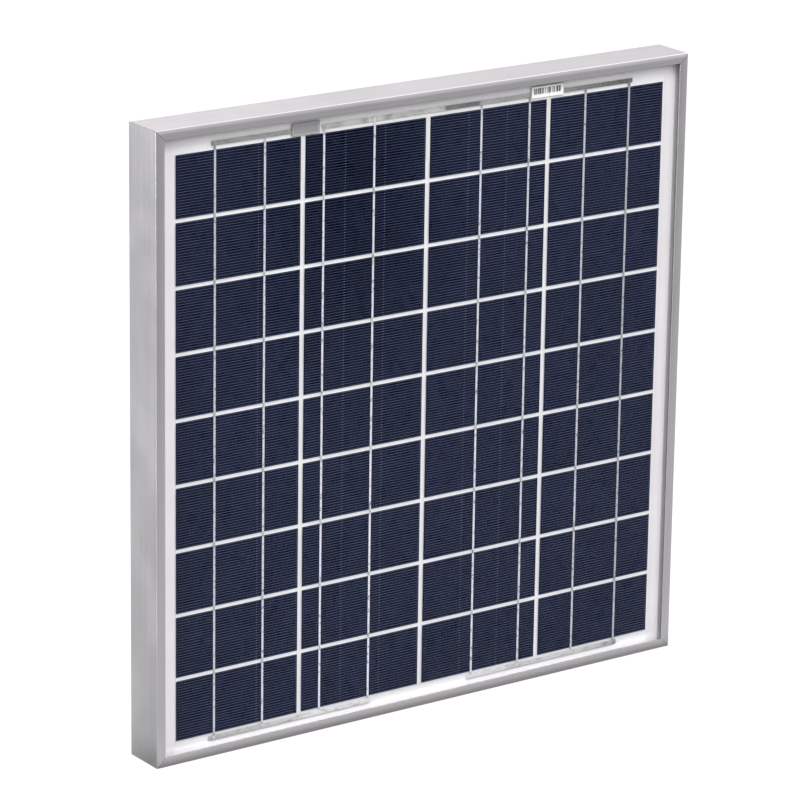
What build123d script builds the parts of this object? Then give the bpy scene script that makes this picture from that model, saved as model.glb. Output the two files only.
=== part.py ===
from build123d import *
import math
import os

os.makedirs("parts", exist_ok=True)

# Small framed 36-cell photovoltaic module with a rear junction box.
# X is the width, the glass faces -Y, +Z is up. The origin is the centre of the bottom
# of the bounding box. All lengths are in millimetres.

# ---------------------------------------------------------------- driving dimensions
width = 459.0            # outside width of the frame
height = 461.0           # outside height of the frame
depth = 35.0             # frame depth, front lip to rear flange

wall = 1.3               # extrusion wall
lip_reach = 7.0          # front lip reach over the glass, from the outer face
crown_r = 15.4           # radius of the lip's gently crowned front
crown_a = 4.1            # highest line of the crown, from the outer face
corner_r = 0.45          # rounded outer front edge
mitre_gap = 0.2          # hairline gap between two bars at a mitre
shelf_reach = 10.0       # shelf behind the laminate
chamber_wall = 9.2       # outside of the key chamber's inner wall
chamber_end = 4.6        # rear of the key chamber
flange_reach = 22.0      # rear flange reach, from the outer face
mitre_box = 30.0

slot_w = 7.0             # mounting slot width, for M6 bolts
slot_l = 10.0            # mounting slot length, along the frame bar
slot_a = 12.0            # slot centre from the outer face
slot_pitch = 230.0       # distance between the two slots of one bar
earth_r = 2.1            # earth hole radius

glass_inset = 3.3        # glass edge from the outer face of the frame
glass_t = 3.2
glass_front = 1.6        # glass face behind the front of the lip
front_eva_t = 0.55
rear_eva_t = 0.70
backsheet_t = 0.35
cell_t = 0.20
tab_t = 0.20
tab_w = 1.6
bus_t = 0.20
finger_front = 0.45      # encapsulant in front of the cells

row_pitch = 47.6
cell_w = 102.3
cell_h = 44.75
rows = 9
col_left = [-210.5, -104.3, 2.0, 108.2]          # left edge of each string of cells
tab_x = [[-178.9, -138.0], [-88.8, -46.1], [46.6, 89.2], [139.4, 179.3]]
field_top = height - 20.0                          # top edge of the top row of cells

bus_w = 3.24
top_bus_z = field_top + 3.0                        # lower edge of the top bus ribbons
bottom_bus_z = field_top - 8 * row_pitch - cell_h - 5.4

# ---------------------------------------------------------------- derived planes (Y)
yf = -depth / 2
yb = depth / 2
y_glass = yf + glass_front
y_glass_b = y_glass + glass_t
y_cell = y_glass_b + finger_front
y_mid = y_cell + cell_t / 2
y_cell_b = y_cell + cell_t
y_eva_b = y_mid + (rear_eva_t)
y_sheet_b = y_eva_b + backsheet_t
y_lip = yf + wall
y_shelf = y_sheet_b + 0.4
hw = width / 2


# ---------------------------------------------------------------- helpers
def box(x0, x1, y0, y1, z0, z1):
    return Solid.make_box(x1 - x0, y1 - y0, z1 - z0).moved(Location((x0, y0, z0)))


def poly(points, direction):
    face = Face(Wire.make_polygon([Vector(*p) for p in points], close=True))
    return Solid.extrude(face, Vector(*direction))


def cyl(x, y, z, r, length, axis):
    return Solid.make_cylinder(r, length, Plane(origin=(x, y, z), z_dir=axis))


def hexagon(x, y, z0, z1, flats, turn=0.0):
    r = flats / 2 / math.cos(math.pi / 6)
    pts = [(x + r * math.cos(math.radians(60 * i + turn)), y + r * math.sin(math.radians(60 * i + turn)), z0) for i in range(6)]
    return poly(pts, (0, 0, z1 - z0))


def one(shape):
    solids = shape.solids()
    return solids[0] if len(solids) == 1 else Compound(children=list(solids))


def save(name, shape):
    shapes = shape if isinstance(shape, list) else [shape]
    solids = []
    for s in shapes:
        solids += list(s.solids())
    item = solids[0] if len(solids) == 1 else Compound(children=solids)
    item.label = name
    export_step(item, "parts/" + name + ".step")
    return item


# ---------------------------------------------------------------- aluminium frame
def crown(a):
    """Front surface of the lip at distance a from the outer face."""
    return yf + crown_r - math.sqrt(crown_r ** 2 - (a - crown_a) ** 2)


def profile():
    """Section of one frame bar: a runs inwards from the outer face, y runs from front to rear."""
    pts = [
        (lip_reach, crown(lip_reach)), (lip_reach, y_lip), (wall, y_lip), (wall, y_shelf), (shelf_reach, y_shelf), (shelf_reach, y_shelf + wall), (chamber_wall, y_shelf + wall),
        (chamber_wall, chamber_end), (wall, chamber_end), (wall, yb - wall), (flange_reach, yb - wall), (flange_reach, yb), (0, yb), (0, crown(0))]
    edges = [Edge.make_line(Vector(*p, 0), Vector(*q, 0)) for p, q in zip(pts, pts[1:])]
    edges.append(Edge.make_three_point_arc(Vector(*pts[-1], 0), Vector(crown_a, yf, 0), Vector(*pts[0], 0)))
    outer = Face(Wire(edges))

    def near(face, a, y):
        return [v for v in face.vertices() if abs(v.X - a) < 1e-6 and abs(v.Y - y) < 1e-6]

    outer = outer.fillet_2d(corner_r, near(outer, 0, crown(0)))
    outer = outer.fillet_2d(0.3, near(outer, lip_reach, crown(lip_reach)))
    outer = outer.fillet_2d(0.12, near(outer, lip_reach, y_lip))
    outer = outer.fillet_2d(0.5, near(outer, 0, yb) + near(outer, flange_reach, yb) + near(outer, flange_reach, yb - wall))
    outer = outer.fillet_2d(0.6, near(outer, wall, chamber_end) + near(outer, wall, yb - wall))
    a0, a1, b0, b1 = wall, chamber_wall - wall, y_shelf + wall, chamber_end - wall
    inner = Face(Wire.make_polygon([Vector(a, y, 0) for a, y in [(a0, b0), (a1, b0), (a1, b1), (a0, b1)]], close=True))
    inner = inner.fillet_2d(0.3, inner.vertices())
    return outer, inner


outer_face, inner_face = profile()
longest = max(width, height)
bar_stock = Solid.extrude(outer_face, Vector(0, 0, longest)).cut(Solid.extrude(inner_face, Vector(0, 0, longest)))
bar_stock = bar_stock.solids()[0]

m = mitre_box
g = mitre_gap / 2 * math.sqrt(2)
# left bar: a -> +X, y -> +Y, length -> +Z
left = bar_stock.moved(Location((-hw, 0, 0)))
left = left.intersect(poly([(-hw - 1, yf - 1, -1 + g), (-hw - 1, yf - 1, height + 1 - g), (-hw + m, yf - 1, height - m - g), (-hw + m, yf - 1, m + g)], (0, depth + 2, 0)))
left = one(left)
# right bar: mirror image of the left bar
right = one(left.mirror(Plane.YZ))
# bottom bar: a -> +Z, length along X
flat = bar_stock.rotate(Axis.Y, -90)           # a (X) -> +Z, length (Z) -> -X
flat = flat.moved(Location((hw, 0, 0)))
bottom = one(flat.intersect(poly([(-hw - 1 + g, yf - 1, -1), (hw + 1 - g, yf - 1, -1), (hw - m - g, yf - 1, m), (-hw + m + g, yf - 1, m)], (0, depth + 2, 0))))
top = one(bottom.mirror(Plane.XY).moved(Location((0, 0, height))))


def slot_cut(x, z):
    s = box(x - slot_w / 2, x + slot_w / 2, yb - 3, yb + 1, z - (slot_l - slot_w) / 2, z + (slot_l - slot_w) / 2)
    s = s.fuse(cyl(x, yb - 3, z - (slot_l - slot_w) / 2, slot_w / 2, 4, (0, 1, 0)), cyl(x, yb - 3, z + (slot_l - slot_w) / 2, slot_w / 2, 4, (0, 1, 0)))
    return s


for z in (height / 2 - slot_pitch / 2, height / 2 + slot_pitch / 2):
    left = one(left.cut(slot_cut(-hw + slot_a, z)))
    right = one(right.cut(slot_cut(hw - slot_a, z)))
left = one(left.cut(cyl(-hw + slot_a, yb - 3, height / 2, earth_r, 4, (0, 1, 0))))
right = one(right.cut(cyl(hw - slot_a, yb - 3, height / 2, earth_r, 4, (0, 1, 0))))
save("frame_left", left)
save("frame_right", right)
save("frame_top", top)
save("frame_bottom", bottom)


# ---------------------------------------------------------------- corner keys, pressed into the chambers
def key_outline(leg=28.0, g=0.1):
    o, i = wall + g, chamber_wall - wall - g
    pts = [(o, o)]
    # barbs on the outer side of the leg that runs along X
    x = 10.0
    while x < leg - 3:
        pts += [(x, o), (x + 0.8, o + 0.6), (x + 0.8, o)]
        x += 4.0
    pts += [(leg, o), (leg, i), (i, i), (i, leg), (o, leg)]
    z = 10.0
    back = []
    while z < leg - 3:
        back += [(o, z), (o + 0.6, z + 0.8), (o, z + 0.8)]
        z += 4.0
    pts += list(reversed(back))
    return pts


def key(sx, top_side):
    pts = []
    for a, b in key_outline():
        x = sx * (hw - a)
        z = height - b if top_side else b
        pts.append((x, y_shelf + wall + 0.1, z))
    return poly(pts, (0, chamber_end - wall - 0.1 - (y_shelf + wall + 0.1), 0))


save("corner_key_top_left", key(-1, True))
save("corner_key_top_right", key(1, True))
save("corner_key_bottom_left", key(-1, False))
save("corner_key_bottom_right", key(1, False))

# ---------------------------------------------------------------- laminate
gx = hw - glass_inset
glass = box(-gx, gx, y_glass, y_glass_b, glass_inset, height - glass_inset)
glass = glass.fillet(2.0, glass.edges().filter_by(Axis.Y))
glass = glass.chamfer(0.4, None, glass.faces().sort_by(Axis.Y)[0].edges() + glass.faces().sort_by(Axis.Y)[-1].edges())
save("front_glass", glass)

sx = gx - 0.6
sz0, sz1 = glass_inset + 0.6, height - glass_inset - 0.6

# edge seal: silicone in the frame groove, in front of, around and behind the laminate
seal = box(-hw + wall, hw - wall, y_lip, y_shelf, wall, height - wall)
seal = seal.cut(box(-hw + lip_reach - 0.5, hw - lip_reach + 0.5, y_lip - 1, y_shelf + 1, lip_reach - 0.5, height - lip_reach + 0.5))
seal = seal.cut(box(-gx, gx, y_glass, y_glass_b, glass_inset, height - glass_inset))
seal = seal.cut(box(-sx, sx, y_glass_b, y_sheet_b, sz0, sz1))
save("edge_seal", one(seal))


def row_top(r):
    return field_top - r * row_pitch


cells = []
for c in range(4):
    group = []
    for r in range(rows):
        zt = row_top(r)
        group.append(box(col_left[c], col_left[c] + cell_w, y_cell, y_cell_b, zt - cell_h, zt))
    cells.append(group)
    save("cell_string_%d" % (c + 1), group)

# interconnect tabs: each runs over the front of one cell, steps through the row gap and
# runs behind the next. Strings 1 and 3 step downwards, strings 2 and 4 upwards.
y_tf = y_cell - tab_t
y_tb = y_cell_b + tab_t
gap = row_pitch - cell_h
tabs = []
for c in range(4):
    group = []
    down = c % 2 == 0
    for x in tab_x[c]:
        x0 = x - tab_w / 2
        for r in range(rows - 1):
            zt, zb = row_top(r), row_top(r) - cell_h
            nb = row_top(r + 1) - cell_h
            pts = [(zt - 0.15, y_tf), (zb - 0.4, y_tf), (zb - gap + 0.4, y_cell_b), (nb + 1.5, y_cell_b),
                   (nb + 1.5, y_tb), (zb - gap + 0.2, y_tb), (zb - 0.6, y_cell), (zt - 0.15, y_cell)]
            if not down:
                mirror_z = zb - gap / 2
                pts = [(2 * mirror_z - z, y) for z, y in pts]
            group.append(poly([(x0, y, z) for z, y in pts], (tab_w, 0, 0)))
        # end tabs on to the bus ribbons
        top_end = top_bus_z + bus_w - 0.2
        bot_end = bottom_bus_z + 0.2
        last_b = row_top(rows - 1) - cell_h
        if down:
            group.append(box(x0, x0 + tab_w, y_cell_b, y_tb, row_top(0) - cell_h + 1.5, top_end))
            group.append(box(x0, x0 + tab_w, y_tf, y_cell, bot_end, row_top(rows - 1) - 0.15))
        else:
            group.append(box(x0, x0 + tab_w, y_tf, y_cell, row_top(0) - cell_h + 0.15, top_end))
            group.append(box(x0, x0 + tab_w, y_cell_b, y_tb, bot_end, row_top(rows - 1) - 1.5))
    tabs.append(group)
    save("tab_ribbons_%d" % (c + 1), group)


def bus(x0, x1, z):
    return box(x0, x1, y_cell, y_cell_b, z, z + bus_w)


buses = {
    "bus_ribbon_top_left": bus(-181.5, -99.0, top_bus_z),
    "bus_ribbon_top_centre": bus(-90.1, 91.0, top_bus_z),
    "bus_ribbon_top_right": bus(96.5, 182.1, top_bus_z),
    "bus_ribbon_bottom_left": bus(-183.4, -43.9, bottom_bus_z),
    "bus_ribbon_bottom_right": bus(42.6, 182.1, bottom_bus_z),
}
for name, solid in buses.items():
    save(name, solid)

# ---------------------------------------------------------------- junction box planes
pad_t = 0.5
jb_x = 48.0
jb_z0, jb_z1 = 366.0, 424.0
jy0 = y_sheet_b + pad_t            # back face of the box, on the adhesive pad
jb_floor = jy0 + 2.0
jb_rim = 7.0
lid_rim, lid_top = 8.5, 10.5
term_x = [-25.0, 0.0, 25.0]
post_top = jb_floor + 4.0
plate_top = post_top + 0.8
win_z0, win_z1 = 409.5, 418.0
turn_z = 413.4

# output leads: flat ribbons soldered behind the bus ribbons, led behind the cells to the
# junction box, turned through the backsheet and folded on to the terminals
lead_w = 4.0
lead_t = 0.2
yl0 = y_tb + 0.1                   # front of the leads, behind the insulating strip
ins_z0, ins_z1 = 410.0, top_bus_z - 1.0


def lead(xp, xt):
    # soldered pad behind the bus ribbon, stepping back over the edge of the insulating strip
    p = [(top_bus_z + bus_w, y_cell_b), (top_bus_z - 0.1, y_cell_b), (top_bus_z - 0.9, yl0), (431.0, yl0),
         (431.0, yl0 + lead_t), (top_bus_z - 1.1, yl0 + lead_t), (top_bus_z - 0.3, y_cell_b + lead_t), (top_bus_z + bus_w, y_cell_b + lead_t)]
    s = poly([(xp - lead_w / 2, y, z) for z, y in p], (lead_w, 0, 0))
    x_lo, x_hi = min(xp, xt) - lead_w / 2, max(xp, xt) + lead_w / 2
    s = s.fuse(box(x_lo, x_hi, yl0, yl0 + lead_t, 431.0, 435.0))
    s = s.fuse(box(xt - lead_w / 2, xt + lead_w / 2, yl0, yl0 + lead_t, turn_z, 431.5))
    s = s.fuse(box(xt - lead_w / 2, xt + lead_w / 2, yl0, plate_top + lead_t, turn_z, turn_z + lead_t))
    s = s.fuse(box(xt - lead_w / 2, xt + lead_w / 2, plate_top, plate_top + lead_t, 403.5, turn_z + lead_t))
    return one(s)


leads = {"output_lead_left": lead(-104.0, term_x[0]), "output_lead_centre": lead(0.0, term_x[1]), "output_lead_right": lead(104.0, term_x[2])}
for name, solid in leads.items():
    save(name, solid)
insulator = box(-112, 112, y_tb, yl0, ins_z0, ins_z1)
save("lead_insulator", insulator)

# labels laminated under the glass, blank nameplate and bar marks
nameplate = box(-115.8, -92.9, y_glass_b, y_glass_b + 0.1, 441.8, 450.5)
bar_label = box(90.3, 118.9, y_glass_b, y_glass_b + 0.1, 443.1, 451.3)
save("front_nameplate", nameplate)
save("front_serial_label", bar_label)

# ---------------------------------------------------------------- encapsulant around the cells
flat_cells = [s for g in cells for s in g]
flat_tabs = [s for g in tabs for s in g]
inner = flat_cells + flat_tabs + list(buses.values()) + list(leads.values()) + [insulator, nameplate, bar_label]
front_eva = box(-sx, sx, y_glass_b, y_mid, sz0, sz1).cut(*inner)
rear_eva = box(-sx, sx, y_mid, y_eva_b, sz0, sz1).cut(*inner)
save("front_encapsulant", one(front_eva))
rear_solids = sorted(rear_eva.solids(), key=lambda s: -s.volume)
save("rear_encapsulant", rear_solids[0])

slits = [box(x - lead_w / 2 - 0.5, x + lead_w / 2 + 0.5, y_eva_b - 1, jy0 + 1, turn_z - 0.6, turn_z + 0.8) for x in term_x]
backsheet = box(-sx, sx, y_eva_b, y_sheet_b, sz0, sz1).cut(*slits)
save("backsheet", one(backsheet))

rating = box(-42, 42, y_sheet_b, y_sheet_b + 0.15, 292, 342)
rating = rating.fillet(2.0, rating.edges().filter_by(Axis.Y))
save("rear_rating_label", rating)

# ---------------------------------------------------------------- junction box
pad = box(-jb_x + 1.5, jb_x - 1.5, y_sheet_b, jy0, jb_z0 + 1.5, jb_z1 - 1.5)
pad = pad.cut(box(-33, 33, y_sheet_b - 1, jy0 + 1, win_z0 - 0.5, win_z1 + 0.5))
save("junction_box_adhesive", one(pad))

gland_x = [-27.0, 27.0]
gland_y = -1.4
hinge_y, hinge_z = 7.5, 426.6
pin_r = 1.0
ear_r = 2.2
wall_j = 2.0

base = box(-jb_x, jb_x, jy0, jb_rim, jb_z0, jb_z1)
base = base.fillet(3.0, base.edges().filter_by(Axis.Y))
cavity = box(-jb_x + wall_j, jb_x - wall_j, jb_floor, jb_rim + 1, jb_z0 + wall_j, jb_z1 - wall_j)
cavity = cavity.fillet(1.5, cavity.edges().filter_by(Axis.Y))
base = base.cut(cavity)
base = base.cut(box(-32, 32, jy0 - 1, jb_floor + 1, win_z0, win_z1))
for x in term_x:
    post = box(x - 7, x + 7, jb_floor - 0.5, post_top, 378, 405)
    base = base.fuse(post)
# ribs between the posts and the cable side, and stiffening ribs in the side walls
for x in (-12.5, 12.5):
    base = base.fuse(box(x - 0.6, x + 0.6, jb_floor - 0.5, jb_floor + 7.0, 376.0, 390.0))
for sgn in (-1, 1):
    for z in (382.0, 395.0, 408.0):
        x0 = sgn * (jb_x - wall_j)
        base = base.fuse(box(min(x0, x0 - sgn * 1.2), max(x0, x0 - sgn * 1.2), jb_floor - 0.5, jb_rim - 4.0, z - 0.6, z + 0.6))
for x in gland_x:
    base = base.cut(cyl(x, gland_y, jb_z0 - 1, 5.35, wall_j + 2, (0, 0, 1)))
for x in (term_x[0], term_x[2]):
    base = base.cut(cyl(x, jb_floor + 0.4, 384.5, 1.75, 10, (0, 1, 0)))
for sgn in (-1, 1):
    x0, x1 = sorted((sgn * 30.0, sgn * 36.0))
    ear = poly([(x0, jb_rim - 6.0, jb_z1 - 0.5), (x0, jb_rim - 6.0, jb_z1 + 0.2), (x0, jb_rim - 1.8, hinge_z + 1.0), (x0, jb_rim + 0.3, hinge_z), (x0, jb_rim - 0.1, jb_z1 - 0.5)], (x1 - x0, 0, 0))
    base = base.fuse(ear, cyl(x0, hinge_y, hinge_z, ear_r, x1 - x0, (1, 0, 0)))
    base = base.cut(cyl(x0 - 1, hinge_y, hinge_z, pin_r, x1 - x0 + 2, (1, 0, 0)))
# latch catch on the cable side
base = base.fuse(poly([(-6, 2.2, jb_z0 + 0.3), (-6, 2.2, jb_z0 - 1.2), (-6, 3.2, jb_z0 - 1.2), (-6, 5.4, jb_z0), (-6, 5.4, jb_z0 + 0.3)], (12, 0, 0)))
base = one(base)
save("junction_box_base", base)

# lid: plate, rim, locating spigot inside the base, hinge knuckles and latch tongue
lid = box(-jb_x, jb_x, jb_rim, lid_top, jb_z0, jb_z1)
lid = lid.fillet(3.0, lid.edges().filter_by(Axis.Y))
lid = lid.fillet(0.8, lid.faces().sort_by(Axis.Y)[-1].edges())
hollow = box(-jb_x + wall_j, jb_x - wall_j, jb_rim - 1, lid_rim, jb_z0 + wall_j, jb_z1 - wall_j)
hollow = hollow.fillet(1.5, hollow.edges().filter_by(Axis.Y))
lid = lid.cut(hollow)
so, si = 0.5, 1.7
spigot = box(-jb_x + wall_j + so, jb_x - wall_j - so, jb_rim - 1.2, lid_rim + 0.5, jb_z0 + wall_j + so, jb_z1 - wall_j - so)
spigot = spigot.cut(box(-jb_x + wall_j + si, jb_x - wall_j - si, jb_rim - 3.0, lid_rim + 1, jb_z0 + wall_j + si, jb_z1 - wall_j - si))
lid = lid.fuse(spigot)
# raised panel moulded on the lid
panel = box(-34, 34, lid_top - 0.3, lid_top + 0.5, 381, 409)
panel = panel.fillet(2.0, panel.edges().filter_by(Axis.Y))
lid = lid.fuse(panel)
for sgn in (-1, 1):
    x0, x1 = sorted((sgn * 23.5, sgn * 29.8))
    arm = poly([(x0, hinge_y + 0.2, hinge_z), (x0, hinge_y + 2.0, hinge_z + 0.9), (x0, lid_top - 0.4, jb_z1 - 2.5), (x0, lid_rim + 0.3, jb_z1 - 2.5), (x0, hinge_y + 0.2, jb_z1 - 0.1)], (x1 - x0, 0, 0))
    lid = lid.fuse(arm, cyl(x0, hinge_y, hinge_z, ear_r, x1 - x0, (1, 0, 0)))
    lid = lid.cut(cyl(x0 - 1, hinge_y, hinge_z, pin_r + 0.05, x1 - x0 + 2, (1, 0, 0)))
tongue = poly([(-7, lid_top - 0.6, jb_z0 + 0.5), (-7, lid_top - 0.6, jb_z0 - 1.6), (-7, lid_top - 1.6, jb_z0 - 2.8), (-7, 0.4, jb_z0 - 2.8), (-7, 0.4, jb_z0 - 1.9),
               (-7, 1.1, jb_z0 - 1.3), (-7, 1.9, jb_z0 - 1.3), (-7, 2.1, jb_z0 - 1.5), (-7, 6.2, jb_z0 - 1.5), (-7, 7.4, jb_z0 - 0.2), (-7, 7.4, jb_z0 + 0.5)], (14, 0, 0))
lid = one(lid.fuse(tongue))
save("junction_box_lid", lid)

# gasket bonded in the lid, on the rim of the base
gasket = box(-jb_x + wall_j + 0.02, jb_x - wall_j - 0.02, jb_rim + 0.02, lid_rim, jb_z0 + wall_j + 0.02, jb_z1 - wall_j - 0.02)
gasket = gasket.cut(box(-jb_x + wall_j + so, jb_x - wall_j - so, jb_rim - 3, lid_rim + 1, jb_z0 + wall_j + so, jb_z1 - wall_j - so))
gasket = gasket.cut(base)
corner_cut = box(-jb_x + wall_j, jb_x - wall_j, jb_rim - 1, lid_rim + 1, jb_z0 + wall_j, jb_z1 - wall_j)
corner_cut = corner_cut.fillet(1.5, corner_cut.edges().filter_by(Axis.Y))
gasket = one(gasket.intersect(corner_cut))
save("junction_box_gasket", gasket)

pin = cyl(-36.6, hinge_y, hinge_z, pin_r, 73.2, (1, 0, 0))
save("junction_box_hinge_pin", pin)

# terminals, screws and bypass diodes
for x, name in zip(term_x, ("terminal_left", "terminal_centre", "terminal_right")):
    plate = box(x - 6, x + 6, post_top, plate_top, 379, 408.5)
    plate = plate.chamfer(1.0, None, plate.edges().filter_by(Axis.Y))
    if x != 0:
        plate = plate.cut(cyl(x, post_top - 1, 384.5, 1.75, 4, (0, 1, 0)))
    save(name, one(plate))
screws = []
for x in (term_x[0], term_x[2]):
    head = cyl(x, plate_top, 384.5, 3.3, 2.2, (0, 1, 0))
    head = head.fillet(0.7, [e for e in head.edges() if abs(e.center().Y - (plate_top + 2.2)) < 1e-3 and e.geom_type == GeomType.CIRCLE])
    shank = cyl(x, jb_floor + 0.6, 384.5, 1.7, plate_top - jb_floor - 0.1, (0, 1, 0))
    s = head.fuse(shank)
    s = s.cut(box(x - 2.1, x + 2.1, plate_top + 1.2, plate_top + 3, 384.5 - 0.4, 384.5 + 0.4))
    s = s.cut(box(x - 0.4, x + 0.4, plate_top + 1.2, plate_top + 3, 384.5 - 2.1, 384.5 + 2.1))
    screws.append(one(s))
save("terminal_screws", screws)
for sgn, name in ((-1, "bypass_diode_left"), (1, "bypass_diode_right")):
    xc = sgn * 12.5
    body = cyl(xc - 4.4, plate_top + 0.5, 396.0, 2.5, 8.8, (1, 0, 0))
    body = body.fillet(0.4, [e for e in body.edges() if e.geom_type == GeomType.CIRCLE])
    wire = cyl(xc - 9.6, plate_top + 0.5, 396.0, 0.5, 19.2, (1, 0, 0))
    save(name, one(body.fuse(wire)))

# ---------------------------------------------------------------- cable glands
nut_gap = 0.3
locknuts = []
for x, side in zip(gland_x, ("left", "right")):
    y = gland_y
    body = hexagon(x, y, 361.5, jb_z0, 15.0, 0.0)
    body = body.fuse(cyl(x, y, 352.5, 5.6, 9.5, (0, 0, 1)), cyl(x, y, jb_z0 - 0.5, 5.3, 8.5, (0, 0, 1)))
    body = body.cut(cyl(x, y, 350, 3.6, 30, (0, 0, 1)), cyl(x, y, 350, 4.6, 12, (0, 0, 1)))
    save("gland_body_" + side, one(body))
    seal_in = cyl(x, y, 353.0, 4.58, 8.9, (0, 0, 1)).cut(cyl(x, y, 350, 3.25, 20, (0, 0, 1)))
    save("gland_seal_" + side, one(seal_in))
    nut = hexagon(x, y, 350.5, 361.5 - nut_gap, 15.0, 0.0)
    dome = Solid.make_cone(5.4, 7.3, 4.5, Plane(origin=(x, y, 346.2), z_dir=(0, 0, 1)))
    nut = nut.fuse(dome)
    nut = nut.cut(cyl(x, y, 352.3, 5.65, 20, (0, 0, 1)), cyl(x, y, 340, 4.0, 30, (0, 0, 1)))
    nut = one(nut)
    mouth = [e for e in nut.edges() if e.geom_type == GeomType.CIRCLE and abs(e.center().Z - 346.2) < 1e-3]
    nut = nut.fillet(0.5, mouth)
    save("gland_nut_" + side, one(nut))
    lock = hexagon(x, y, jb_z0 + wall_j, jb_z0 + wall_j + 3.4, 14.0, 0.0).cut(cyl(x, y, 360, 5.35, 30, (0, 0, 1)))
    locknuts.append(one(lock))
save("gland_locknuts", locknuts)
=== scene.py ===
import bmesh
import bpy
import math
import random
from mathutils import Matrix, Vector


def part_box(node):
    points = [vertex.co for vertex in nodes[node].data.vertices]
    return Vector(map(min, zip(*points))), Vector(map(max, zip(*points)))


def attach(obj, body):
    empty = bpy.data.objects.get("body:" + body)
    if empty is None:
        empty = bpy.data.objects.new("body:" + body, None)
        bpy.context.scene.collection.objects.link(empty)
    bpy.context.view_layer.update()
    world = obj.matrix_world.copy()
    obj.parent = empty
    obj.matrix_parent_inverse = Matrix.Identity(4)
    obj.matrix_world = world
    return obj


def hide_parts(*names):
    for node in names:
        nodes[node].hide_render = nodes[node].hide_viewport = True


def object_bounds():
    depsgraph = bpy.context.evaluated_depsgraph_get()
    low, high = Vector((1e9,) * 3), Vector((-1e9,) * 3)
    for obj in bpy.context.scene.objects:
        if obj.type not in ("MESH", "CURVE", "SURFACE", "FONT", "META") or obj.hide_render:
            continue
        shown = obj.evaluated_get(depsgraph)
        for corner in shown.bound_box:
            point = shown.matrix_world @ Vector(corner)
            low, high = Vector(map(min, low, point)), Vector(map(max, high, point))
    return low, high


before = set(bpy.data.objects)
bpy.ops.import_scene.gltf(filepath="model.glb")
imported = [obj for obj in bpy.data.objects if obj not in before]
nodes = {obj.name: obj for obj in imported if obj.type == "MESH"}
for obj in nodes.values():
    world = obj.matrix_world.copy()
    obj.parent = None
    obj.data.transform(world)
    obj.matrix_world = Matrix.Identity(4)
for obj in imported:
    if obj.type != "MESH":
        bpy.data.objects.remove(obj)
cad_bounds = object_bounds()
scene = bpy.context.scene
MM = 0.001

# strengths of the soft surroundings, of the floor's bounce and of the three soft boxes (W)
UP, LEFT, RIGHT = 2.476, 1.025, 1.396
SIDE_W, TOP_W, FRONT_RIGHT_W, FRONT_LEFT_W = 164.0, 17.3, 10.5, 4.6
# light thrown back by the floor, from far in front of the panel to behind it: (Y in m, strength); the floor glows with
# these strengths to every ray but the camera's, and the dip at the panel's foot is a painted contact shadow
BOUNCE = [(-2.0, 0.47), (-0.80, 0.52), (-0.55, 0.68), (-0.38, 0.80), (-0.16, 0.75), (-0.085, 0.72), (-0.05, 0.86), (-0.03, 0.86), (-0.018, 0.26), (0.0, 0.26), (0.04, 0.55), (0.12, 0.624), (2.0, 0.624)]

# ------------------------------------------------------------------ layout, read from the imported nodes
cells = [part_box("cell_string_%d" % (i + 1)) for i in range(4)]
glass_lo, glass_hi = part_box("front_glass")
sheet_lo, sheet_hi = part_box("backsheet")
Y_CELL = cells[0][0].y                  # front face of the cells
CELL_H = 44.75 * MM
ROW = 47.6 * MM
FIELD_TOP = cells[0][1].z


# ------------------------------------------------------------------ material helpers
def new_material(name):
    m = bpy.data.materials.new(name)
    m.use_nodes = True
    nt = m.node_tree
    for n in list(nt.nodes):
        nt.nodes.remove(n)
    out = nt.nodes.new("ShaderNodeOutputMaterial")
    return m, nt, out


def node(nt, kind, **values):
    n = nt.nodes.new(kind)
    for k, v in values.items():
        if hasattr(n, k) and k not in n.inputs:
            setattr(n, k, v)
        else:
            n.inputs[k].default_value = v
    return n


def principled(nt, out, color=(0.8, 0.8, 0.8), rough=0.5, metal=0.0, spec=0.5, **extra):
    p = nt.nodes.new("ShaderNodeBsdfPrincipled")
    p.inputs["Base Color"].default_value = (*color, 1)
    p.inputs["Roughness"].default_value = rough
    p.inputs["Metallic"].default_value = metal
    p.inputs["Specular IOR Level"].default_value = spec
    for k, v in extra.items():
        p.inputs[k.replace("_", " ")].default_value = v
    nt.links.new(p.outputs[0], out.inputs[0])
    return p


def coords(nt, scale):
    tc = nt.nodes.new("ShaderNodeTexCoord")
    mp = nt.nodes.new("ShaderNodeMapping")
    mp.inputs["Scale"].default_value = scale
    nt.links.new(tc.outputs["Object"], mp.inputs[0])
    return mp.outputs[0]


def noise(nt, vec, scale=1.0, detail=2.0, rough=0.5, distortion=0.0):
    n = nt.nodes.new("ShaderNodeTexNoise")
    n.inputs["Scale"].default_value = scale
    n.inputs["Detail"].default_value = detail
    n.inputs["Roughness"].default_value = rough
    n.inputs["Distortion"].default_value = distortion
    nt.links.new(vec, n.inputs["Vector"])
    return n.outputs[0]


def remap(nt, value, lo, hi, f0=0.0, f1=1.0):
    n = nt.nodes.new("ShaderNodeMapRange")
    n.inputs["From Min"].default_value = f0
    n.inputs["From Max"].default_value = f1
    n.inputs["To Min"].default_value = lo
    n.inputs["To Max"].default_value = hi
    nt.links.new(value, n.inputs["Value"])
    return n.outputs[0]


def ramp(nt, value, stops):
    n = nt.nodes.new("ShaderNodeValToRGB")
    e = n.color_ramp.elements
    e[0].position, e[0].color = stops[0][0], (*stops[0][1], 1)
    e[1].position, e[1].color = stops[-1][0], (*stops[-1][1], 1)
    for pos, col in stops[1:-1]:
        x = e.new(pos)
        x.color = (*col, 1)
    nt.links.new(value, n.inputs[0])
    return n.outputs[0]


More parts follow.
